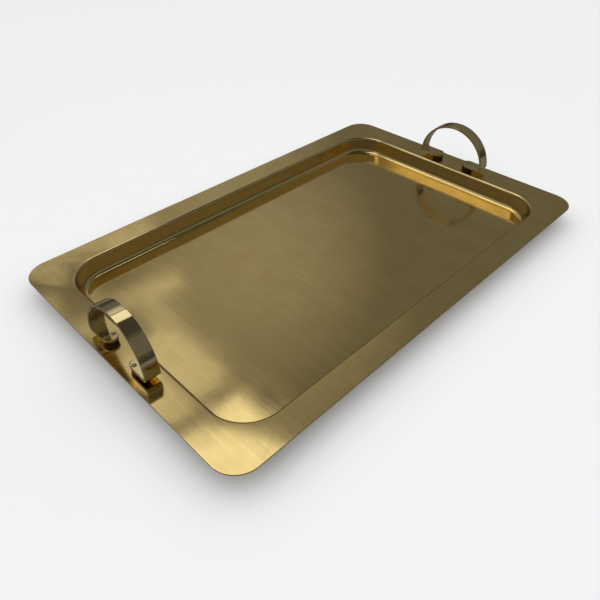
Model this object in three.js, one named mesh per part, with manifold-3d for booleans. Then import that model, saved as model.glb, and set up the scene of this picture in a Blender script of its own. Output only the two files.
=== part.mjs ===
// A rectangular brass serving tray: a pressed sheet pan with a broad rim, and two hoop handles
// of flat strip, each riveted through round spacers to the rim at one end.
// Millimetres, +Z up. The origin is the centre of the floor's underside, X runs along the tray.

import * as THREE from 'three';
import { mergeVertices } from 'three/addons/utils/BufferGeometryUtils.js';
import Module from 'manifold-3d';

const wasm = await Module();
wasm.setup();

// ---- Driving dimensions ----

// Pan: outline, rim and recess. The rim rises slightly from the recess to its outer edge.
const TRAY_LENGTH = 500;
const TRAY_WIDTH = 320;
const OUTER_CORNER_RADIUS = 23.5;
const SHEET_THICKNESS = 1.2;
const END_RIM_WIDTH = 29.5;
const SIDE_RIM_WIDTH = 26.3;
const RIM_RISE = 1.6;
const OPENING_CORNER_RADIUS = 36;
const RECESS_DEPTH = 18.2;
const WALL_DRAFT = THREE.MathUtils.degToRad(7);
const LIP_RADIUS = 3.2;
const FLOOR_FILLET_RADIUS = 5.6;

// Handle: a strip bent into a hoop, with both feet turned inwards and rounded at the tip.
const HOOP_OUTER_RADIUS = 43.3;
const HOOP_CENTRE_HEIGHT = 5.4;
const STRIP_WIDTH = 13.8;
const STRIP_THICKNESS = 2.4;
const FOOT_LENGTH = 28.6;
const FOOT_BEND_INNER_RADIUS = 1.6;
const HANDLE_EDGE_DISTANCE = 14.3;
const HANDLE_SIDE_SHIFT = -5.5;

// Spacer under each foot's tip, and the two rivets that go down through it.
const SPACER_DIAMETER = 12.6;
const SPACER_HEIGHT = 3.5;
const RIVET_SPACING = 7.4;
const RIVET_SHANK_DIAMETER = 2.4;
const RIVET_HEAD_DIAMETER = 4.4;
const RIVET_HEAD_HEIGHT = 0.9;
const RIVET_TAIL_DIAMETER = 4;
const RIVET_TAIL_HEIGHT = 1;
const BURR_DIAMETER = 6.6;
const BURR_THICKNESS = 0.8;

// Clearances: between seated faces, and around a rivet's shank in its holes.
const SEAT_GAP = 0.3;
const SHANK_CLEARANCE = 0.3;

// How far a drill starts before its work and ends past it, and how close two points have to be
// to count as one.
const DRILL_OVERRUN = 1;
const MERGE_DISTANCE = 1e-4;

// How finely the rounds are stepped: a pan corner, a bend of the sheet, half of an arc of the
// strip, the sides of the spacers, burrs and foot tips, and a rivet's sides and domes.
const CORNER_STEPS = 10;
const BEND_STEPS = 4;
const STRIP_ARC_STEPS = 16;
const DISC_SIDES = 36;
const RIVET_SIDES = 16;
const DOME_STEPS = 3;

// ---- Values that follow from them ----

const RIM_SLOPE = Math.atan(RIM_RISE / END_RIM_WIDTH);
const RIM_INNER_Z = SHEET_THICKNESS + RECESS_DEPTH;
const HANDLE_SEAT_Z = RIM_INNER_Z + RIM_RISE * (1 - HANDLE_EDGE_DISTANCE / END_RIM_WIDTH);
const SPACER_BOTTOM = SEAT_GAP;
const FOOT_BOTTOM = SPACER_BOTTOM + SPACER_HEIGHT + SEAT_GAP;
const FOOT_TOP = FOOT_BOTTOM + STRIP_THICKNESS;
const FOOT_HOLE_Y = HOOP_OUTER_RADIUS - FOOT_LENGTH + STRIP_WIDTH / 2;
const BURR_TOP = -SHEET_THICKNESS - SEAT_GAP;
const BURR_BOTTOM = BURR_TOP - BURR_THICKNESS;
const SHANK_HOLE_RADIUS = RIVET_SHANK_DIAMETER / 2 + SHANK_CLEARANCE;
const ENDS = { left: -1, right: 1 };
const FEET = { front: -1, rear: 1 };
const FOOT_RIVETS = { inner: -1, outer: 1 };

const BRASS_SHEET = { color: 0x8f7a44, roughness: 0.32, metalness: 1 };
const BRASS_STRIP = { color: 0x7d6a3c, roughness: 0.2, metalness: 1 };
const BRASS_FITTING = { color: 0x9a8450, roughness: 0.28, metalness: 1 };

// ---- Solids ----

// A closed geometry as a solid that can be joined and cut.
function toSolid(geometry) {
  const bare = geometry.clone();
  bare.deleteAttribute('normal');
  bare.deleteAttribute('uv');
  const merged = mergeVertices(bare, MERGE_DISTANCE);
  return new wasm.Manifold(new wasm.Mesh({
    numProp: 3,
    vertProperties: new Float32Array(merged.attributes.position.array),
    triVerts: new Uint32Array(merged.index.array),
  }));
}

// A solid back as a geometry.
function toGeometry(solid) {
  const mesh = solid.getMesh();
  const geometry = new THREE.BufferGeometry();
  geometry.setAttribute('position', new THREE.BufferAttribute(mesh.vertProperties, 3));
  geometry.setIndex(new THREE.BufferAttribute(mesh.triVerts, 1));
  geometry.computeVertexNormals();
  return geometry;
}

function makeMesh(name, geometry, finish) {
  const mesh = new THREE.Mesh(geometry, new THREE.MeshStandardMaterial(finish));
  mesh.name = name;
  return mesh;
}

// An upright cylinder between two heights.
function uprightCylinder(radius, bottom, top, sides) {
  const cylinder = new THREE.CylinderGeometry(radius, radius, top - bottom, sides);
  cylinder.rotateX(Math.PI / 2);
  cylinder.translate(0, 0, (bottom + top) / 2);
  return cylinder;
}

// The drill for a rivet's shank through a piece that lies between two heights.
function shankDrill(x, y, bottom, top) {
  const start = bottom - DRILL_OVERRUN;
  const drill = uprightCylinder(SHANK_HOLE_RADIUS, start, top + DRILL_OVERRUN, RIVET_SIDES);
  drill.translate(x, y, 0);
  return drill;
}

// ---- Pan ----

// One point of the pan's section: how far it lies inside the recess opening, how much of the
// rim's width it has moved outwards, and its height.
const sectionPoint = (inset, rimShare, z) => ({ inset, rimShare, z });

// An arc of the section about (centreInset, centreZ), from one angle to another.
function sectionArc(centreInset, centreZ, radius, from, to) {
  const points = [];
  for (let step = 0; step <= BEND_STEPS; step += 1) {
    const angle = THREE.MathUtils.lerp(from, to, step / BEND_STEPS);
    const inset = centreInset + radius * Math.cos(angle);
    points.push(sectionPoint(inset, 0, centreZ + radius * Math.sin(angle)));
  }
  return points;
}

// The section of one face of the sheet, from the rim's outer edge to the floor. drop is how far
// the face lies under the sheet's upper face, so both faces share the centres of their bends.
function panSection(drop) {
  const lipTurn = (Math.PI / 2 - WALL_DRAFT - RIM_SLOPE) / 2;
  const floorTurn = (Math.PI / 2 - WALL_DRAFT) / 2;
  const lipSetback = LIP_RADIUS * Math.tan(lipTurn);
  const floorSetback = FLOOR_FILLET_RADIUS * Math.tan(floorTurn);
  const lipCentreInset = -lipSetback * Math.cos(RIM_SLOPE) - LIP_RADIUS * Math.sin(RIM_SLOPE);
  const lipCentreZ = RIM_INNER_Z + lipSetback * Math.sin(RIM_SLOPE) - LIP_RADIUS * Math.cos(RIM_SLOPE);
  const floorCentreInset = RECESS_DEPTH * Math.tan(WALL_DRAFT) + floorSetback;
  const floorCentreZ = SHEET_THICKNESS + FLOOR_FILLET_RADIUS;
  const lip = sectionArc(
    lipCentreInset, lipCentreZ, LIP_RADIUS - drop, Math.PI / 2 - RIM_SLOPE, WALL_DRAFT,
  );
  const foot = sectionArc(
    floorCentreInset, floorCentreZ, FLOOR_FILLET_RADIUS + drop, Math.PI + WALL_DRAFT, Math.PI * 1.5,
  );
  const edge = sectionPoint(0, 1, RIM_INNER_Z + RIM_RISE - drop / Math.cos(RIM_SLOPE));
  return [edge, ...lip, ...foot];
}

// The rounded rectangle that one section point draws around the pan.
function panRing({ inset, rimShare, z }) {
  const halfLength = TRAY_LENGTH / 2 - END_RIM_WIDTH * (1 - rimShare) - inset;
  const halfWidth = TRAY_WIDTH / 2 - SIDE_RIM_WIDTH * (1 - rimShare) - inset;
  const radius = THREE.MathUtils.lerp(OPENING_CORNER_RADIUS, OUTER_CORNER_RADIUS, rimShare) - inset;
  const ring = [];
  for (let quarter = 0; quarter < 4; quarter += 1) {
    const centreX = (halfLength - radius) * (quarter === 0 || quarter === 3 ? 1 : -1);
    const centreY = (halfWidth - radius) * (quarter < 2 ? 1 : -1);
    for (let step = 0; step <= CORNER_STEPS; step += 1) {
      const angle = (quarter + step / CORNER_STEPS) * Math.PI / 2;
      const x = centreX + radius * Math.cos(angle);
      ring.push(new THREE.Vector3(x, centreY + radius * Math.sin(angle), z));
    }
  }
  return ring;
}

// A closed solid through rings that follow one another, with a flat cap on the first and the last.
function loftRings(rings) {
  const count = rings[0].length;
  const indices = [];
  for (let row = 0; row < rings.length - 1; row += 1) {
    for (let i = 0; i < count; i += 1) {
      const next = (i + 1) % count;
      const here = row * count;
      const below = here + count;
      indices.push(here + i, below + i, below + next, here + i, below + next, here + next);
    }
  }
  const outline = rings[0].map((point) => new THREE.Vector2(point.x, point.y));
  const last = (rings.length - 1) * count;
  for (const [a, b, c] of THREE.ShapeUtils.triangulateShape(outline, [])) {
    indices.push(a, b, c, last + a, last + c, last + b);
  }
  const geometry = new THREE.BufferGeometry().setFromPoints(rings.flat());
  geometry.setIndex(indices);
  return geometry;
}

// The rings run from the floor's upper face out to the rim's edge and back under to its underside.
function makePan() {
  const upper = panSection(0).reverse();
  const lower = panSection(SHEET_THICKNESS);
  let pan = toSolid(loftRings([...upper, ...lower].map(panRing)));
  for (const end of Object.values(ENDS)) {
    for (const drill of panDrills(end)) {
      pan = pan.subtract(drill);
    }
  }
  return makeMesh('tray_pan', toGeometry(pan), BRASS_SHEET);
}

// The drills for the four rivets of one handle, in the pan's frame.
function panDrills(end) {
  const seat = handleSeat(end);
  seat.updateMatrix();
  return rivetPlaces(end).map(({ x, y }) => {
    const drill = shankDrill(x, y, -SHEET_THICKNESS, 0);
    drill.applyMatrix4(seat.matrix);
    return toSolid(drill);
  });
}

// ---- Handles ----

// The frame that a handle is made in. Its origin is on the rim's upper face, +X points away from
// the tray along the sloping rim, Y runs along the tray's end and +Z stands square to the rim.
function handleSeat(end) {
  const seat = new THREE.Group();
  seat.position.set(end * (TRAY_LENGTH / 2 - HANDLE_EDGE_DISTANCE), HANDLE_SIDE_SHIFT, HANDLE_SEAT_Z);
  seat.rotation.set(0, -RIM_SLOPE, end > 0 ? 0 : Math.PI, 'ZYX');
  return seat;
}

// Where a foot's rivets and spacer stand along a handle's frame. The left handle's frame is turned
// half round, so its front foot, the one towards the tray's -Y side, lies on the frame's +Y side.
const footY = (end, foot) => end * foot * FOOT_HOLE_Y;

// Where the rivets stand in a handle's frame, two in each foot.
function rivetPlaces(end) {
  const places = [];
  for (const [footName, foot] of Object.entries(FEET)) {
    for (const [sideName, side] of Object.entries(FOOT_RIVETS)) {
      const name = `${footName}_${sideName}`;
      places.push({ name, x: side * RIVET_SPACING / 2, y: footY(end, foot) });
    }
  }
  return places;
}

// The strip's side view between its two feet's rivets. The hoop and each foot's bend are arcs
// that touch at the angle start above the hoop's centre, and at finish on the other side.
function hoopOutline() {
  const bendInner = FOOT_BEND_INNER_RADIUS;
  const bendOuter = bendInner + STRIP_THICKNESS;
  const bendZ = FOOT_BOTTOM + bendOuter;
  const hoopInner = HOOP_OUTER_RADIUS - STRIP_THICKNESS;
  const start = Math.asin((bendZ - HOOP_CENTRE_HEIGHT) / (HOOP_OUTER_RADIUS - bendOuter));
  const finish = Math.PI - start;
  const bendY = (HOOP_OUTER_RADIUS - bendOuter) * Math.cos(start);
  const outline = new THREE.Shape();
  outline.moveTo(FOOT_HOLE_Y, FOOT_BOTTOM);
  outline.absarc(bendY, bendZ, bendOuter, -Math.PI / 2, start, false);
  outline.absarc(0, HOOP_CENTRE_HEIGHT, HOOP_OUTER_RADIUS, start, finish, false);
  outline.absarc(-bendY, bendZ, bendOuter, finish, Math.PI * 1.5, false);
  outline.lineTo(-FOOT_HOLE_Y, FOOT_BOTTOM);
  outline.lineTo(-FOOT_HOLE_Y, FOOT_TOP);
  outline.absarc(-bendY, bendZ, bendInner, Math.PI * 1.5, finish, true);
  outline.absarc(0, HOOP_CENTRE_HEIGHT, hoopInner, finish, start, true);
  outline.absarc(bendY, bendZ, bendInner, start, -Math.PI / 2, true);
  outline.lineTo(FOOT_HOLE_Y, FOOT_TOP);
  return outline;
}

// The strip's side view pushed across its width, with a round tip on each foot and the rivet holes.
function makeHoop(name, end) {
  const strip = new THREE.ExtrudeGeometry(hoopOutline(), {
    depth: STRIP_WIDTH, bevelEnabled: false, curveSegments: STRIP_ARC_STEPS,
  });
  strip.translate(0, 0, -STRIP_WIDTH / 2);
  strip.rotateX(Math.PI / 2);
  strip.rotateZ(Math.PI / 2);
  let hoop = toSolid(strip);
  for (const foot of Object.values(FEET)) {
    const tip = uprightCylinder(STRIP_WIDTH / 2, FOOT_BOTTOM, FOOT_TOP, DISC_SIDES);
    tip.translate(0, footY(end, foot), 0);
    hoop = hoop.add(toSolid(tip));
  }
  for (const { x, y } of rivetPlaces(end)) {
    hoop = hoop.subtract(toSolid(shankDrill(x, y, FOOT_BOTTOM, FOOT_TOP)));
  }
  return makeMesh(name, toGeometry(hoop), BRASS_STRIP);
}

function makeSpacer(name, y) {
  const top = SPACER_BOTTOM + SPACER_HEIGHT;
  let spacer = toSolid(uprightCylinder(SPACER_DIAMETER / 2, SPACER_BOTTOM, top, DISC_SIDES));
  for (const side of Object.values(FOOT_RIVETS)) {
    const drill = shankDrill(side * RIVET_SPACING / 2, 0, SPACER_BOTTOM, top);
    spacer = spacer.subtract(toSolid(drill));
  }
  const mesh = makeMesh(name, toGeometry(spacer), BRASS_FITTING);
  mesh.position.y = y;
  return mesh;
}

// ---- Rivets and burrs ----

// The profile of a low dome on a flat base: a cap of a sphere, from its rim to its top.
function domeProfile(radius, height, baseZ, direction) {
  const sphere = (radius * radius + height * height) / (2 * height);
  const reach = Math.asin(radius / sphere);
  const points = [];
  for (let step = 0; step <= DOME_STEPS; step += 1) {
    const angle = reach * (1 - step / DOME_STEPS);
    const z = baseZ + direction * (sphere * Math.cos(angle) - sphere + height);
    points.push(new THREE.Vector2(step === DOME_STEPS ? 0 : sphere * Math.sin(angle), z));
  }
  return points;
}

// A rivet: domed head over the foot, shank down through the stack, and a tail peened over its burr.
function makeRivet(name, x, y) {
  const shank = RIVET_SHANK_DIAMETER / 2;
  const headBase = FOOT_TOP + SEAT_GAP;
  const tailBase = BURR_BOTTOM - SEAT_GAP;
  const profile = [
    ...domeProfile(RIVET_TAIL_DIAMETER / 2, RIVET_TAIL_HEIGHT, tailBase, -1).reverse(),
    new THREE.Vector2(shank, tailBase),
    new THREE.Vector2(shank, headBase),
    ...domeProfile(RIVET_HEAD_DIAMETER / 2, RIVET_HEAD_HEIGHT, headBase, 1),
  ];
  const rivet = new THREE.LatheGeometry(profile, RIVET_SIDES);
  rivet.rotateX(Math.PI / 2);
  const mesh = makeMesh(name, toGeometry(toSolid(rivet)), BRASS_FITTING);
  mesh.position.set(x, y, 0);
  return mesh;
}

// A burr: the small washer that a rivet's tail is peened over, under the rim.
function makeBurr(name, x, y) {
  const ring = toSolid(uprightCylinder(BURR_DIAMETER / 2, BURR_BOTTOM, BURR_TOP, DISC_SIDES));
  const bore = toSolid(shankDrill(0, 0, BURR_BOTTOM, BURR_TOP));
  const mesh = makeMesh(name, toGeometry(ring.subtract(bore)), BRASS_FITTING);
  mesh.position.set(x, y, 0);
  return mesh;
}

// ---- Assembly ----

function makeHandleAssembly(endName, end) {
  const assembly = handleSeat(end);
  assembly.add(makeHoop(`handle_${endName}`, end));
  for (const [footName, foot] of Object.entries(FEET)) {
    assembly.add(makeSpacer(`spacer_${endName}_${footName}`, footY(end, foot)));
  }
  for (const { name, x, y } of rivetPlaces(end)) {
    assembly.add(makeRivet(`rivet_${endName}_${name}`, x, y));
    assembly.add(makeBurr(`burr_${endName}_${name}`, x, y));
  }
  return assembly;
}

const group = new THREE.Group();
group.add(makePan());
for (const [endName, end] of Object.entries(ENDS)) {
  group.add(makeHandleAssembly(endName, end));
}

export default group;
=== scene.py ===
# The looks of a rectangular brass serving tray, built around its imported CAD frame.
# Metres, +Z up, X along the tray. Every piece is a fine mesh that stands for one CAD node.
# The pan's and the handles' shapes follow the same rules as the CAD's, with finer steps and rounded edges.

import math

import bmesh
import bpy
from mathutils import Matrix, Vector


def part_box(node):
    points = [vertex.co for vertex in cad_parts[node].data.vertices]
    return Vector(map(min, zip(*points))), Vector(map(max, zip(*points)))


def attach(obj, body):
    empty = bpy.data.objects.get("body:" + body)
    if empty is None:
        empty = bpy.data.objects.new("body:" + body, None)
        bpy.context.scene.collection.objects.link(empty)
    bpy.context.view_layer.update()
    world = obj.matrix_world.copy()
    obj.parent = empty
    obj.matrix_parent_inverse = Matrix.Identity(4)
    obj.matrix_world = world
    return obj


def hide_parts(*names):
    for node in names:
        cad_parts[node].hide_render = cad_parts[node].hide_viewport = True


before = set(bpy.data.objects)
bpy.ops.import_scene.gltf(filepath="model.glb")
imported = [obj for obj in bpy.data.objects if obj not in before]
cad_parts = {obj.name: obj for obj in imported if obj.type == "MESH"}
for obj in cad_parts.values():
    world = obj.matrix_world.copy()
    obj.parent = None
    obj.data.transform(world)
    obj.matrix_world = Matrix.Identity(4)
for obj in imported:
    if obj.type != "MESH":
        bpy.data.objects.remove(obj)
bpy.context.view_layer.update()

# ---- Sizes of the pan ----

PAN_LOW, PAN_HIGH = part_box("tray_pan")
LENGTH = PAN_HIGH.x - PAN_LOW.x
WIDTH = PAN_HIGH.y - PAN_LOW.y
OUTER_CORNER = 0.0235
SHEET = 0.0012
END_RIM = 0.0295
SIDE_RIM = 0.0263
RIM_RISE = 0.0016
OPENING_CORNER = 0.036
WALL_DRAFT = math.radians(7)
LIP_RADIUS = 0.0032
FLOOR_FILLET = 0.0056
CUT_EDGE_ROUND = 0.0003

RIM_SLOPE = math.atan(RIM_RISE / END_RIM)
RIM_INNER_Z = PAN_HIGH.z - RIM_RISE
RECESS_DEPTH = RIM_INNER_Z - SHEET

# ---- Sizes of a handle and of what fastens it, in the handle's own frame ----

HOOP_RADIUS = 0.0433
HOOP_CENTRE_Z = 0.0054
STRIP_WIDTH = 0.0138
STRIP_THICKNESS = 0.0024
STRIP_EDGE_ROUND = 0.00045
FOOT_BEND_INNER = 0.0016
FOOT_BOTTOM = 0.0041
HANDLE_EDGE_DISTANCE = 0.0143
SPACER_RADIUS = 0.0063
SPACER_EDGE_ROUND = 0.0003
RIVET_SPACING = 0.0074
SHANK_RADIUS = 0.0012
HEAD_RADIUS = 0.0022
HEAD_HEIGHT = 0.0011
TAIL_RADIUS = 0.002
TAIL_HEIGHT = 0.0012
BURR_RADIUS = 0.0033
BURR_THICKNESS = 0.0009
BURR_EDGE_ROUND = 0.0002
HOLE_RADIUS = 0.0013
DRILL_OVERRUN = 0.001

# ---- How finely the rounds are stepped ----

CORNER_STEPS = 20
LONG_SIDE_STEPS = 40
SHORT_SIDE_STEPS = 26
RIM_STEPS = 6
BEND_STEPS = 12
WALL_STEPS = 4
EDGE_STEPS = 4
STRIP_ARC_STEPS = 96
STRIP_BEND_STEPS = 12
STRIP_ACROSS = 6
FOOT_STEPS = 16
TIP_STEPS = 16
SPACER_SIDES = 64
FASTENER_SIDES = 32
DRILL_SIDES = 32
MERGE_DISTANCE = 1e-6
TURNED_MERGE_DISTANCE = 1e-7


def lerp(a, b, share):
    return a + (b - a) * share


def between(first, last, steps):
    """Even places between two ends, without the ends."""
    return [lerp(first, last, step / steps) for step in range(1, steps)]


# ---- Meshes ----

def new_object(name, mesh):
    """A mesh as a smooth object in the scene."""
    mesh.polygons.foreach_set("use_smooth", [True] * len(mesh.polygons))
    obj = bpy.data.objects.new(name, mesh)
    bpy.context.scene.collection.objects.link(obj)
    return obj


def mesh_from(name, points, faces, merge=MERGE_DISTANCE):
    """A mesh whose doubled points are merged and whose faces point out."""
    mesh = bpy.data.meshes.new(name)
    mesh.from_pydata(points, [], faces)
    bm = bmesh.new()
    bm.from_mesh(mesh)
    bmesh.ops.remove_doubles(bm, verts=bm.verts, dist=merge)
    bmesh.ops.recalc_face_normals(bm, faces=bm.faces)
    bm.to_mesh(mesh)
    bm.free()
    return mesh


def weigh_normals(obj):
    """Large faces set the normals, so that narrow rounded edges don't tilt the flats beside them."""
    weighted = obj.modifiers.new("weighted_normals", "WEIGHTED_NORMAL")
    weighted.mode = "FACE_AREA"
    weighted.weight = 50


def apply_modifiers(obj):
    """The object's mesh as its modifiers leave it."""
    bpy.context.view_layer.update()
    graph = bpy.context.evaluated_depsgraph_get()
    mesh = bpy.data.meshes.new_from_object(obj.evaluated_get(graph))
    obj.modifiers.clear()
    obj.data = mesh


def band_faces(rings, count, closed=False):
    """Quads between each ring of this many points and the next, and back to the first if closed."""
    faces = []
    for ring in range(rings if closed else rings - 1):
        here = ring * count
        there = (ring + 1) % rings * count
        for i in range(count):
            after = (i + 1) % count
            faces.append((here + i, here + after, there + after, there + i))
    return faces


def lathe(name, profile, sides):
    """A solid turned about Z from (radius, z) pairs that start and end on the axis or close up."""
    points = []
    for radius, z in profile:
        for side in range(sides):
            angle = 2 * math.pi * side / sides
            points.append((radius * math.cos(angle), radius * math.sin(angle), z))
    faces = band_faces(len(profile), sides, closed=True)
    return new_object(name, mesh_from(name, points, faces, TURNED_MERGE_DISTANCE))


def rounded(radius, z, round_radius, from_angle, to_angle):
    """A quarter round of a turned profile, whose outer corner is at (radius, z)."""
    centre_r = radius - round_radius
    centre_z = z - math.copysign(round_radius, math.sin((from_angle + to_angle) / 2))
    arc = []
    for step in range(EDGE_STEPS + 1):
        angle = lerp(from_angle, to_angle, step / EDGE_STEPS)
        arc.append((centre_r + round_radius * math.cos(angle), centre_z + round_radius * math.sin(angle)))
    return arc


def drills(spots, bottom, top):
    """Tools for holes from bottom to top, at these (x, y) spots."""
    low = bottom - DRILL_OVERRUN
    high = top + DRILL_OVERRUN
    tools = []
    for x, y in spots:
        tool = lathe("drill", [(0, low), (HOLE_RADIUS, low), (HOLE_RADIUS, high), (0, high)], DRILL_SIDES)
        tool.data.transform(Matrix.Translation((x, y, 0)))
        tools.append(tool)
    return tools


def cut(obj, tools):
    """The tools are cut out of the piece and then removed."""
    for tool in tools:
        boolean = obj.modifiers.new("cut", "BOOLEAN")
        boolean.operation = "DIFFERENCE"
        boolean.solver = "EXACT"
        boolean.object = tool
    apply_modifiers(obj)
    for tool in tools:
        bpy.data.objects.remove(tool)


# ---- Pan ----
# A point of the sheet's section is (inset, rim share, z): the share is 1 at the rim's edge and 0 at the
# recess's opening, and the inset is how far the point lies inside the outline that its share draws.

def section_arc(centre_inset, centre_z, radius, start, end):
    """A bend of the sheet's section."""
    arc = []
    for step in range(BEND_STEPS + 1):
        angle = lerp(start, end, step / BEND_STEPS)
        arc.append((centre_inset + radius * math.cos(angle), 0, centre_z + radius * math.sin(angle)))
    return arc


def mix_points(a, b, share):
    return tuple(lerp(start, end, share) for start, end in zip(a, b))


def pan_section(drop):
    """One face of the sheet from the rim's edge to the floor, drop under the upper face."""
    lip_turn = (math.pi / 2 - WALL_DRAFT - RIM_SLOPE) / 2
    floor_turn = (math.pi / 2 - WALL_DRAFT) / 2
    lip_setback = LIP_RADIUS * math.tan(lip_turn)
    floor_setback = FLOOR_FILLET * math.tan(floor_turn)
    lip_inset = -lip_setback * math.cos(RIM_SLOPE) - LIP_RADIUS * math.sin(RIM_SLOPE)
    lip_z = RIM_INNER_Z + lip_setback * math.sin(RIM_SLOPE) - LIP_RADIUS * math.cos(RIM_SLOPE)
    floor_inset = RECESS_DEPTH * math.tan(WALL_DRAFT) + floor_setback
    lip = section_arc(lip_inset, lip_z, LIP_RADIUS - drop, math.pi / 2 - RIM_SLOPE, WALL_DRAFT)
    fillet = section_arc(
        floor_inset, SHEET + FLOOR_FILLET, FLOOR_FILLET + drop, math.pi + WALL_DRAFT, math.pi * 1.5,
    )
    edge = (0, 1, PAN_HIGH.z - drop / math.cos(RIM_SLOPE))
    rim = [mix_points(edge, lip[0], step / RIM_STEPS) for step in range(RIM_STEPS)]
    wall = [mix_points(lip[-1], fillet[0], step / WALL_STEPS) for step in range(1, WALL_STEPS)]
    return rim + lip + wall + fillet


def rim_edge():
    """The rounded cut edge of the sheet, from its upper face down to its lower one."""
    middle_z = PAN_HIGH.z - SHEET / 2
    half_flat = SHEET / 2 - CUT_EDGE_ROUND
    arc = []
    for step in range(1, 2 * EDGE_STEPS):
        angle = math.pi / 2 - math.pi * step / (2 * EDGE_STEPS)
        z = middle_z + math.copysign(half_flat, math.sin(angle)) + CUT_EDGE_ROUND * math.sin(angle)
        inset = CUT_EDGE_ROUND * (1 - math.cos(angle))
        arc.append((inset, 1, z))
    return arc


def pan_outline(inset, rim_share):
    """Half sizes and corner radius of the rounded rectangle that a section point draws."""
    half_length = LENGTH / 2 - END_RIM * (1 - rim_share) - inset
    half_width = WIDTH / 2 - SIDE_RIM * (1 - rim_share) - inset
    radius = lerp(OPENING_CORNER, OUTER_CORNER, rim_share) - inset
    return half_length, half_width, radius


def pan_ring(inset, rim_share, z):
    """The points of one rounded rectangle: each corner, then the straight side that follows it."""
    half_length, half_width, radius = pan_outline(inset, rim_share)
    reach_x = half_length - radius
    reach_y = half_width - radius
    quarters = (
        (reach_x, reach_y, Vector((-1, 0, 0)), 2 * reach_x, LONG_SIDE_STEPS),
        (-reach_x, reach_y, Vector((0, -1, 0)), 2 * reach_y, SHORT_SIDE_STEPS),
        (-reach_x, -reach_y, Vector((1, 0, 0)), 2 * reach_x, LONG_SIDE_STEPS),
        (reach_x, -reach_y, Vector((0, 1, 0)), 2 * reach_y, SHORT_SIDE_STEPS),
    )
    ring = []
    for quarter, (centre_x, centre_y, along, run, steps) in enumerate(quarters):
        for step in range(CORNER_STEPS + 1):
            angle = (quarter + step / CORNER_STEPS) * math.pi / 2
            ring.append(Vector((
                centre_x + radius * math.cos(angle), centre_y + radius * math.sin(angle), z,
            )))
        start = ring[-1]
        for step in range(1, steps):
            ring.append(start + along * run * step / steps)
    return ring


def floor_grid(inset, z, up):
    """The flat floor inside the last ring: squares, with triangles along the round corners."""
    half_length, half_width, radius = pan_outline(inset, 0)
    turns = [math.pi / 2 * step / CORNER_STEPS for step in range(CORNER_STEPS + 1)]
    corner_x = [half_length - radius + radius * math.cos(turn) for turn in turns]
    corner_y = [half_width - radius + radius * math.sin(turn) for turn in turns]
    inner_x = between(corner_x[-1], -corner_x[-1], LONG_SIDE_STEPS)
    inner_y = between(-corner_y[0], corner_y[0], SHORT_SIDE_STEPS)
    xs = corner_x + inner_x + [-x for x in reversed(corner_x)]
    ys = [-y for y in reversed(corner_y)] + inner_y + corner_y
    points = [Vector((x, y, z)) for x in xs for y in ys]
    last_x = len(xs) - 1
    last_y = len(ys) - 1
    # How many rows the round corners leave out at each end of a column.
    left_out = [max(0, CORNER_STEPS - min(column, last_x - column)) for column in range(len(xs))]
    faces = []
    for column in range(last_x):
        for row in range(last_y):
            square = [(column, row), (column + 1, row), (column + 1, row + 1), (column, row + 1)]
            kept = [c * len(ys) + r for c, r in square if left_out[c] <= r <= last_y - left_out[c]]
            if len(kept) > 2:
                faces.append(kept[::-1] if up else kept)
    return points, faces


def make_pan():
    """The sheet from the middle of its upper face, round the rim's edge, to the middle of its underside."""
    upper = pan_section(0)
    lower = pan_section(SHEET)
    upper[0] = (CUT_EDGE_ROUND, 1, PAN_HIGH.z)
    lower[0] = (CUT_EDGE_ROUND, 1, PAN_HIGH.z - SHEET)
    rings = [pan_ring(*point) for point in upper[::-1] + rim_edge() + lower]
    points = [point for ring in rings for point in ring]
    faces = band_faces(len(rings), len(rings[0]))
    for (inset, _, z), up in ((upper[-1], True), (lower[-1], False)):
        grid_points, grid_faces = floor_grid(inset, z, up)
        base = len(points)
        points += grid_points
        faces += [[base + i for i in face] for face in grid_faces]
    return new_object("pan_sheet", mesh_from("pan_sheet", points, faces))


# ---- Handles ----

def handle_seat(end):
    """The frame that a handle is made in: on the rim, +X outwards and +Z square to it."""
    low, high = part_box("handle_right" if end > 0 else "handle_left")
    middle = Vector((
        end * (LENGTH / 2 - HANDLE_EDGE_DISTANCE),
        (low.y + high.y) / 2,
        PAN_HIGH.z - RIM_RISE * HANDLE_EDGE_DISTANCE / END_RIM,
    ))
    turn = Matrix.Rotation(0 if end > 0 else math.pi, 4, "Z") @ Matrix.Rotation(-RIM_SLOPE, 4, "Y")
    return Matrix.Translation(middle) @ turn


def foot_distance(end):
    """How far a foot's spacer stands from the handle's middle."""
    side = "right" if end > 0 else "left"
    front_low, front_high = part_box(f"spacer_{side}_front")
    rear_low, rear_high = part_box(f"spacer_{side}_rear")
    return (rear_low.y + rear_high.y - front_low.y - front_high.y) / 4


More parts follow.
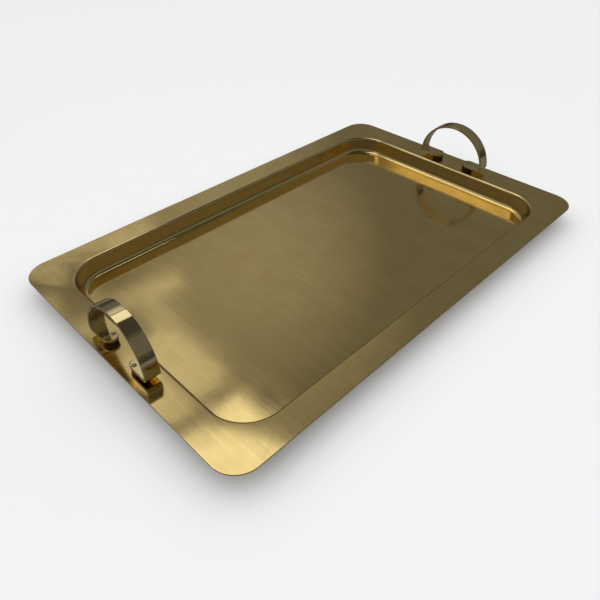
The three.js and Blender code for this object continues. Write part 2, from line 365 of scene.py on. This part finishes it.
def strip_stations(foot_y):
    """Places along the strip's middle line from one foot's rivets to the other's: (y, z, ny, nz),
    where n points to the face that is outermost on the hoop."""
    bend_middle = FOOT_BEND_INNER + STRIP_THICKNESS / 2
    bend_z = FOOT_BOTTOM + STRIP_THICKNESS + FOOT_BEND_INNER
    bend_reach = HOOP_RADIUS - FOOT_BEND_INNER - STRIP_THICKNESS
    start = math.asin((bend_z - HOOP_CENTRE_Z) / bend_reach)
    bend_y = bend_reach * math.cos(start)
    hoop_middle = HOOP_RADIUS - STRIP_THICKNESS / 2
    foot = []
    for step in range(FOOT_STEPS):
        foot.append((lerp(foot_y, bend_y, step / FOOT_STEPS), FOOT_BOTTOM + STRIP_THICKNESS / 2, 0, -1))
    for step in range(STRIP_BEND_STEPS):
        angle = lerp(-math.pi / 2, start, step / STRIP_BEND_STEPS)
        ny = math.cos(angle)
        nz = math.sin(angle)
        foot.append((bend_y + bend_middle * ny, bend_z + bend_middle * nz, ny, nz))
    arch = []
    for step in range(STRIP_ARC_STEPS + 1):
        angle = lerp(start, math.pi - start, step / STRIP_ARC_STEPS)
        ny = math.cos(angle)
        nz = math.sin(angle)
        arch.append((hoop_middle * ny, HOOP_CENTRE_Z + hoop_middle * nz, ny, nz))
    other_foot = [(-y, z, -ny, nz) for y, z, ny, nz in reversed(foot)]
    return foot + arch + other_foot


def strip_section():
    """The strip's section as (share across, inset, height). The share runs from -1 to 1 over a flat and
    stays at its end round the edge, and the inset is taken off the half width that it's a share of."""
    top = STRIP_THICKNESS / 2
    half_flat = top - STRIP_EDGE_ROUND
    section = []
    for side in (1, -1):
        for step in range(STRIP_ACROSS + 1):
            section.append((side * (2 * step / STRIP_ACROSS - 1), STRIP_EDGE_ROUND, side * top))
        for step in range(1, 2 * EDGE_STEPS):
            angle = math.pi / 2 - math.pi * step / (2 * EDGE_STEPS)
            flat_end = 0 if step == EDGE_STEPS else math.copysign(half_flat, math.sin(angle))
            inset = STRIP_EDGE_ROUND * (1 - math.cos(angle))
            section.append((side, inset, side * (flat_end + STRIP_EDGE_ROUND * math.sin(angle))))
    return section


def make_hoop(name, foot_y):
    """The strip with its two round tips. A row is (station, reach over the tip, width left there), and
    the last two are shares of the half width."""
    stations = strip_stations(foot_y)
    section = strip_section()
    rows = []
    for step in range(TIP_STEPS):
        angle = math.pi / 2 * (1 - step / TIP_STEPS)
        rows.append((stations[0], math.sin(angle), math.cos(angle)))
    rows += [(station, 0, 1) for station in stations]
    for step in range(1, TIP_STEPS + 1):
        angle = math.pi / 2 * step / TIP_STEPS
        rows.append((stations[-1], -math.sin(angle), math.cos(angle)))
    points = []
    for (y, z, ny, nz), tip, spread in rows:
        for share, inset, height in section:
            radius = STRIP_WIDTH / 2 - inset
            points.append(Vector((
                share * radius * spread,
                y + ny * height - tip * radius,
                z + nz * height,
            )))
    faces = band_faces(len(rows), len(section))
    return new_object(name, mesh_from(name, points, faces))


def make_spacer(name):
    profile = [(0, 0)]
    profile += rounded(SPACER_RADIUS, 0, SPACER_EDGE_ROUND, -math.pi / 2, 0)
    profile += rounded(SPACER_RADIUS, FOOT_BOTTOM, SPACER_EDGE_ROUND, 0, math.pi / 2)
    profile.append((0, FOOT_BOTTOM))
    return lathe(name, profile, SPACER_SIDES)


def dome(radius, height, base, direction):
    """The profile of a low dome, from its edge to its top on the axis."""
    sphere = (radius * radius + height * height) / (2 * height)
    reach = math.asin(radius / sphere)
    profile = []
    for step in range(2 * EDGE_STEPS + 1):
        angle = reach * (1 - step / (2 * EDGE_STEPS))
        rise = sphere * math.cos(angle) - sphere + height
        profile.append((sphere * math.sin(angle), base + direction * rise))
    return profile


def make_rivet(name):
    head_base = FOOT_BOTTOM + STRIP_THICKNESS
    tail_base = -SHEET - BURR_THICKNESS
    profile = dome(TAIL_RADIUS, TAIL_HEIGHT, tail_base, -1)[::-1]
    profile += [(SHANK_RADIUS, tail_base), (SHANK_RADIUS, head_base)]
    profile += dome(HEAD_RADIUS, HEAD_HEIGHT, head_base, 1)
    return lathe(name, profile, FASTENER_SIDES)


def make_burr(name):
    top = -SHEET
    bottom = top - BURR_THICKNESS
    profile = [(HOLE_RADIUS, top), (HOLE_RADIUS, bottom)]
    profile += rounded(BURR_RADIUS, bottom, BURR_EDGE_ROUND, -math.pi / 2, 0)
    profile += rounded(BURR_RADIUS, top, BURR_EDGE_ROUND, 0, math.pi / 2)
    return lathe(name, profile, FASTENER_SIDES)


# ---- Materials ----

BRASS_BRIGHT = (0.91, 0.69, 0.285)
BRASS_DULL = (0.8, 0.59, 0.23)
HANDLE_BRIGHT = (0.84, 0.69, 0.36)
HANDLE_DULL = (0.66, 0.53, 0.26)
# The spacers' colours are painted shade: brass darkened to near black so that the spacers stand for the
# shade under the handles' feet.
SPACER_PAINTED_SHADE_BRIGHT = (0.12, 0.095, 0.055)
SPACER_PAINTED_SHADE_DULL = (0.06, 0.047, 0.027)

# How many grains a noise has in a metre, along the brushing and across it.
WAVE_GRAINS = (7, 9)
STREAK_GRAINS = (5, 240)
HAIR_GRAINS = (30, 1500)
SMUDGE_GRAINS = (34, 34)

# The part of each noise's range that shows, and what it is turned into.
TARNISH_NOISE = (0.42, 0.72)
TARNISH_SHARES = (0, 0.55)
STREAK_NOISE = (0.35, 0.65)
STREAK_TONES = (0.96, 1.02)
WEAR_NOISE = (0.35, 0.75)
SMOOTHEST_SHARE = 0.88
ROUGHEST_SHARE = 1.3
HAIR_NOISE = (0.3, 0.7)
HAIR_ROUGHNESS = (-0.02, 0.02)
HAIR_DEPTH_SHARE = 1 / 8


def add_node(tree, kind, **inputs):
    """A shader node with values or links for its inputs, whose names have _ for each space."""
    node = tree.nodes.new(kind)
    for name, value in inputs.items():
        socket = node.inputs[name.replace("_", " ")]
        if isinstance(value, bpy.types.NodeSocket):
            tree.links.new(value, socket)
        else:
            socket.default_value = value
    return node


def grains(tree, coordinates, counts, detail=3):
    """Noise drawn out along the brushing, with this many grains a metre along it and across it."""
    along, across = counts
    scaled = add_node(tree, "ShaderNodeMapping", Vector=coordinates, Scale=(across, along, across))
    noise = add_node(tree, "ShaderNodeTexNoise", Vector=scaled.outputs["Vector"], Scale=1, Detail=detail)
    return noise.outputs["Fac"]


def remap(tree, value, from_range, to_range):
    """A value carried from one range to another, and held at its ends."""
    low, high = from_range
    to_low, to_high = to_range
    ends = {"From_Min": low, "From_Max": high, "To_Min": to_low, "To_Max": to_high}
    return add_node(tree, "ShaderNodeMapRange", Value=value, **ends).outputs["Result"]


def add_values(tree, first, second):
    total = tree.nodes.new("ShaderNodeMath")
    tree.links.new(first, total.inputs[0])
    tree.links.new(second, total.inputs[1])
    return total.outputs["Value"]


def scale_colour(tree, colour, factor):
    """A colour times a value."""
    scale = tree.nodes.new("ShaderNodeVectorMath")
    scale.operation = "SCALE"
    tree.links.new(colour, scale.inputs[0])
    tree.links.new(factor, scale.inputs["Scale"])
    return scale.outputs["Vector"]


def mix_colours(tree, share, first, second):
    """The first colour turning into the second as the share rises."""
    mix = tree.nodes.new("ShaderNodeMixRGB")
    for socket, value in zip(mix.inputs, (share, first, second)):
        if isinstance(value, bpy.types.NodeSocket):
            tree.links.new(value, socket)
        else:
            socket.default_value = value
    return mix.outputs["Color"]


def add_bump(tree, height, distance, under=None):
    """A surface that rises by distance, in metres, where height is 1, on top of another bump."""
    bump = add_node(tree, "ShaderNodeBump", Height=height, Distance=distance, Strength=1)
    if under is not None:
        tree.links.new(under, bump.inputs["Normal"])
    return bump.outputs["Normal"]


def brushed_brass(name, bright, dull, roughness, anisotropy, streak_depth, wave_depth):
    """Brass brushed along the UV map's V and then polished. Depths are in metres."""
    material = bpy.data.materials.new(name)
    material.use_nodes = True
    tree = material.node_tree
    shader = tree.nodes["Principled BSDF"]
    laid_out = add_node(tree, "ShaderNodeUVMap").outputs["UV"]
    solid = add_node(tree, "ShaderNodeTexCoord").outputs["Object"]
    waves = grains(tree, solid, WAVE_GRAINS, detail=1)
    streaks = grains(tree, laid_out, STREAK_GRAINS)
    hairs = grains(tree, laid_out, HAIR_GRAINS)
    smudges = grains(tree, solid, SMUDGE_GRAINS, detail=6)
    tarnish = remap(tree, smudges, TARNISH_NOISE, TARNISH_SHARES)
    colour = mix_colours(tree, tarnish, (*bright, 1), (*dull, 1))
    streak_tone = remap(tree, streaks, STREAK_NOISE, STREAK_TONES)
    tree.links.new(scale_colour(tree, colour, streak_tone), shader.inputs["Base Color"])
    shader.inputs["Metallic"].default_value = 1
    shader.inputs["Anisotropic"].default_value = anisotropy
    tangent = tree.nodes.new("ShaderNodeTangent")
    tangent.direction_type = "UV_MAP"
    tree.links.new(tangent.outputs["Tangent"], shader.inputs["Tangent"])
    worn = remap(tree, smudges, WEAR_NOISE, (roughness * SMOOTHEST_SHARE, roughness * ROUGHEST_SHARE))
    ridged = remap(tree, hairs, HAIR_NOISE, HAIR_ROUGHNESS)
    tree.links.new(add_values(tree, worn, ridged), shader.inputs["Roughness"])
    wavy = add_bump(tree, waves, wave_depth)
    streaked = add_bump(tree, streaks, streak_depth, wavy)
    brushed = add_bump(tree, hairs, streak_depth * HAIR_DEPTH_SHARE, streaked)
    tree.links.new(brushed, shader.inputs["Normal"])
    return material


def paint(obj, material):
    obj.data.materials.clear()
    obj.data.materials.append(material)


def lay_uv(obj, flatten):
    """A UV map in metres, from each corner's place: V runs along the brushing."""
    layer = obj.data.uv_layers.new(name="UVMap")
    for loop in obj.data.loops:
        layer.data[loop.index].uv = flatten(obj.data.vertices[loop.vertex_index].co)


def flat_from_above(co):
    """The plan, with V along the piece's own Y."""
    return co.x, co.y


def flat_along_strip(co):
    """Across the strip, and along the hoop from its foot."""
    angle = math.atan2(co.z - HOOP_CENTRE_Z, co.y)
    return co.x, angle * HOOP_RADIUS


# ---- Assembly ----

def fit(obj, seat, node, material, flatten=flat_from_above):
    """A piece gets its finish, goes to its seat and stands for its CAD node."""
    lay_uv(obj, flatten)
    obj.data.transform(seat)
    paint(obj, material)
    weigh_normals(obj)
    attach(obj, "root")
    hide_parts(node)


def add_foot(side, foot, seat, foot_y):
    """One foot's spacer with its two rivets and their burrs, and the rivets' (x, y) spots."""
    rivet_xs = {"inner": -RIVET_SPACING / 2, "outer": RIVET_SPACING / 2}
    spacer = make_spacer(f"spacer_disc_{side}_{foot}")
    cut(spacer, drills([(x, 0) for x in rivet_xs.values()], 0, FOOT_BOTTOM))
    spacer_seat = seat @ Matrix.Translation((0, foot_y, 0))
    # The spacer's material is painted shade: near-black brass for the shade under the foot.
    fit(spacer, spacer_seat, f"spacer_{side}_{foot}", spacer_painted_shade_brass)
    for row, x in rivet_xs.items():
        rivet_seat = seat @ Matrix.Translation((x, foot_y, 0))
        rivet = make_rivet(f"rivet_pin_{side}_{foot}_{row}")
        fit(rivet, rivet_seat, f"rivet_{side}_{foot}_{row}", fitting_brass)
        burr = make_burr(f"burr_ring_{side}_{foot}_{row}")
        fit(burr, rivet_seat, f"burr_{side}_{foot}_{row}", fitting_brass)
    return [(x, foot_y) for x in rivet_xs.values()]


def add_handle(side, end):
    """One hoop and all that fastens it, and the tools for its rivets' holes in the pan."""
    seat = handle_seat(end)
    foot_y = foot_distance(end)
    hoop = make_hoop(f"hoop_{side}", foot_y)
    rivet_spots = add_foot(side, "front", seat, -end * foot_y)
    rivet_spots += add_foot(side, "rear", seat, end * foot_y)
    cut(hoop, drills(rivet_spots, FOOT_BOTTOM, FOOT_BOTTOM + STRIP_THICKNESS))
    fit(hoop, seat, f"handle_{side}", handle_brass, flat_along_strip)
    pan_tools = drills(rivet_spots, -SHEET, 0)
    for tool in pan_tools:
        tool.data.transform(seat)
    return pan_tools


pan_brass = brushed_brass(
    "pan_brass", BRASS_BRIGHT, BRASS_DULL,
    roughness=0.11, anisotropy=0.4, streak_depth=0.000005, wave_depth=0.0003,
)
handle_brass = brushed_brass(
    "handle_brass", HANDLE_BRIGHT, HANDLE_DULL,
    roughness=0.10, anisotropy=0.4, streak_depth=0.000002, wave_depth=0.0001,
)
fitting_brass = brushed_brass(
    "fitting_brass", HANDLE_BRIGHT, HANDLE_DULL,
    roughness=0.18, anisotropy=0.0, streak_depth=0.000002, wave_depth=0.0001,
)
# Painted shade: the spacers get near-black brass that stands for the shade under the handles' feet.
spacer_painted_shade_brass = brushed_brass(
    "spacer_painted_shade_brass", SPACER_PAINTED_SHADE_BRIGHT, SPACER_PAINTED_SHADE_DULL,
    roughness=0.4, anisotropy=0.0, streak_depth=0.000002, wave_depth=0.0001,
)

pan = make_pan()
hole_tools = add_handle("left", -1) + add_handle("right", 1)
cut(pan, hole_tools)
fit(pan, Matrix.Identity(4), "tray_pan", pan_brass)

# ---- Floor, light and camera ----

FLOOR_SIZE = 6.0
FLOOR_GREY = (0.92, 0.92, 0.92)
# The brass sees the paper duller than the camera does, so that the handles keep their dark sides.
FLOOR_MIRRORED_GREY = (0.16, 0.16, 0.16)
PAPER_ROUGHNESS = 0.9

# The room's grey by how high a direction points: -1 is straight down, 1 is straight up.
ROOM_GREYS = ((-1.0, 0.3), (-0.1, 0.2), (0.0, 0.04), (0.18, 0.06), (0.3, 0.13), (0.75, 0.14), (0.87, 0.05))
# A soft glow in the room: its direction, the cosine at which it starts, and its strength.
GLOW_DIRECTION = Vector((0.5, 0.635, 0.588))
GLOW_START = 0.97
GLOW_STRENGTH = 0.16
BACKDROP = 0.9

# The panels overhead: one height for all, then each one's name, middle, size, turn in degrees and
# radiance. They are what the brass reflects as its pale patches.
PANEL_HEIGHT = 3.0
PANELS = (
    ("overhead_panel", (0.17, 1.29), (2.14, 1.38), 0, 0.98),
    ("rear_panel", (0.21, 2.58), (2.22, 0.84), 0, 0.46),
    ("window_panel", (-2.7, 1.9), (1.1, 1.3), 0, 0.6),
    ("far_panel", (1.2, 3.57), (1.1, 0.3), -12, 0.32),
    ("corner_panel", (0.85, 4.1), (0.5, 0.4), -12, 0.35),
    ("strip_panel", (1.3, 3.2), (0.22, 0.4), 0, 0.26),
)
# A light that only brightens the paper: the brass doesn't reflect it.
PAPER_LIGHT_SIZE = (14.0, 14.0)
PAPER_LIGHT_RADIANCE = 1.0


def make_floor():
    """A sheet of pale paper that the tray lies on."""
    reach = FLOOR_SIZE / 2
    corners = [(-reach, -reach, 0), (reach, -reach, 0), (reach, reach, 0), (-reach, reach, 0)]
    mesh = bpy.data.meshes.new("floor")
    mesh.from_pydata(corners, [], [(0, 1, 2, 3)])
    sheet = bpy.data.objects.new("floor", mesh)
    bpy.context.scene.collection.objects.link(sheet)
    material = bpy.data.materials.new("floor_paper")
    material.use_nodes = True
    tree = material.node_tree
    shader = tree.nodes["Principled BSDF"]
    mirrored = add_node(tree, "ShaderNodeLightPath").outputs["Is Glossy Ray"]
    colour = mix_colours(tree, mirrored, (*FLOOR_GREY, 1), (*FLOOR_MIRRORED_GREY, 1))
    tree.links.new(colour, shader.inputs["Base Color"])
    shader.inputs["Roughness"].default_value = PAPER_ROUGHNESS
    paint(sheet, material)
    return sheet


def make_world():
    """A grey room for the reflections, and a pale backdrop where the camera sees past the floor."""
    world = bpy.data.worlds.new("studio")
    bpy.context.scene.world = world
    world.use_nodes = True
    tree = world.node_tree
    direction = add_node(tree, "ShaderNodeTexCoord").outputs["Generated"]
    height = add_node(tree, "ShaderNodeSeparateXYZ", Vector=direction).outputs["Z"]
    ramp = tree.nodes.new("ShaderNodeValToRGB")
    tree.links.new(remap(tree, height, (-1, 1), (0, 1)), ramp.inputs["Fac"])
    stops = ramp.color_ramp.elements
    while len(stops) < len(ROOM_GREYS):
        stops.new(1)
    for stop, (stop_height, grey) in zip(stops, ROOM_GREYS):
        stop.position = (stop_height + 1) / 2
        stop.color = (grey, grey, grey, 1)
    facing = tree.nodes.new("ShaderNodeVectorMath")
    facing.operation = "DOT_PRODUCT"
    tree.links.new(direction, facing.inputs[0])
    facing.inputs[1].default_value = GLOW_DIRECTION
    glow = remap(tree, facing.outputs["Value"], (GLOW_START, 1), (0, GLOW_STRENGTH))
    room = add_values(tree, ramp.outputs["Color"], glow)
    seen = add_node(tree, "ShaderNodeLightPath").outputs["Is Camera Ray"]
    backdrop = (BACKDROP, BACKDROP, BACKDROP, 1)
    colour = mix_colours(tree, seen, room, backdrop)
    tree.links.new(colour, tree.nodes["Background"].inputs["Color"])


def make_panel(name, middle, size, turn, radiance):
    """A flat light that faces down, at the panels' height."""
    light = bpy.data.lights.new(name, "AREA")
    light.shape = "RECTANGLE"
    light.size, light.size_y = size
    light.energy = radiance * math.pi * size[0] * size[1]
    panel = bpy.data.objects.new(name, light)
    panel.location = (*middle, PANEL_HEIGHT)
    panel.rotation_euler.z = math.radians(turn)
    bpy.context.scene.collection.objects.link(panel)
    return panel


CAMERA_AZIMUTH = math.radians(-44.45)
CAMERA_ELEVATION = math.radians(40.96)
CAMERA_ROLL = math.radians(-0.41)
CAMERA_PLACE = Vector((-0.3501, -0.3257, 0.3457))
CAMERA_LENS = 32.97


def camera_turn():
    """Right, up and back axes of a camera that looks at the tray from the front left."""
    back = Vector((
        math.sin(CAMERA_AZIMUTH) * math.cos(CAMERA_ELEVATION),
        -math.cos(CAMERA_AZIMUTH) * math.cos(CAMERA_ELEVATION),
        math.sin(CAMERA_ELEVATION),
    ))
    right = Vector((math.cos(CAMERA_AZIMUTH), math.sin(CAMERA_AZIMUTH), 0))
    up = back.cross(right)
    level = Matrix((right, up, back)).transposed()
    return level @ Matrix.Rotation(CAMERA_ROLL, 3, "Z")


floor = make_floor()
make_world()
for panel in PANELS:
    make_panel(*panel)
paper_light = make_panel("paper_light", (0, 0), PAPER_LIGHT_SIZE, 0, PAPER_LIGHT_RADIANCE)
paper_light.visible_glossy = False

camera_data = bpy.data.cameras.new("camera")
camera_data.lens = CAMERA_LENS
camera = bpy.data.objects.new("camera", camera_data)
camera.matrix_world = Matrix.Translation(CAMERA_PLACE) @ camera_turn().to_4x4()
bpy.context.scene.collection.objects.link(camera)
bpy.context.scene.camera = camera
bpy.context.scene.view_settings.view_transform = "Standard"
